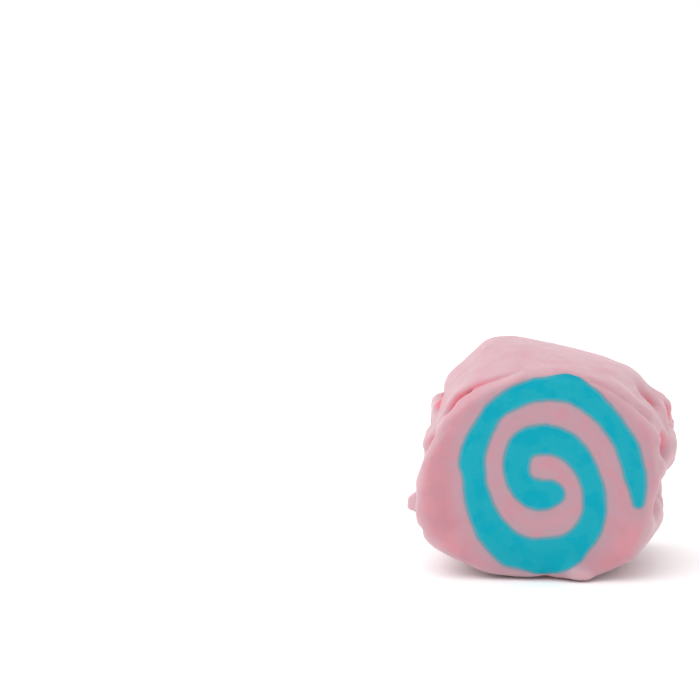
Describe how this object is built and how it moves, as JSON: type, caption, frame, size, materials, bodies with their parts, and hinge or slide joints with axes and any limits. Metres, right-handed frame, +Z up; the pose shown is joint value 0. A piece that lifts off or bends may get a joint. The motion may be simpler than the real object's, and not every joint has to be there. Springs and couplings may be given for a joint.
{
  "type": "piece of swirl taffy",
  "caption": "Bite-size unwrapped piece of pulled taffy, pink with a blue spiral rolled through it, standing on its curved side, with creased mounds where the wrapper was twisted.",
  "frame": {"origin": "centre of the footprint of the bounding box, on the surface that the piece stands on", "axes": "+Z up; +X to the right of the cut face that is seen first; that face looks towards -Y, and the spiral runs through the piece along Y"},
  "size_m": [0.0254, 0.018, 0.0217],
  "materials": {
    "pink_taffy": "soft satin chewy sugar, slightly translucent",
    "blue_taffy": "soft satin chewy sugar, slightly translucent"
  },
  "bodies": {
    "root": {"taffy_pink": "pink_taffy", "taffy_swirl": "blue_taffy"}
  },
  "joints": []
}
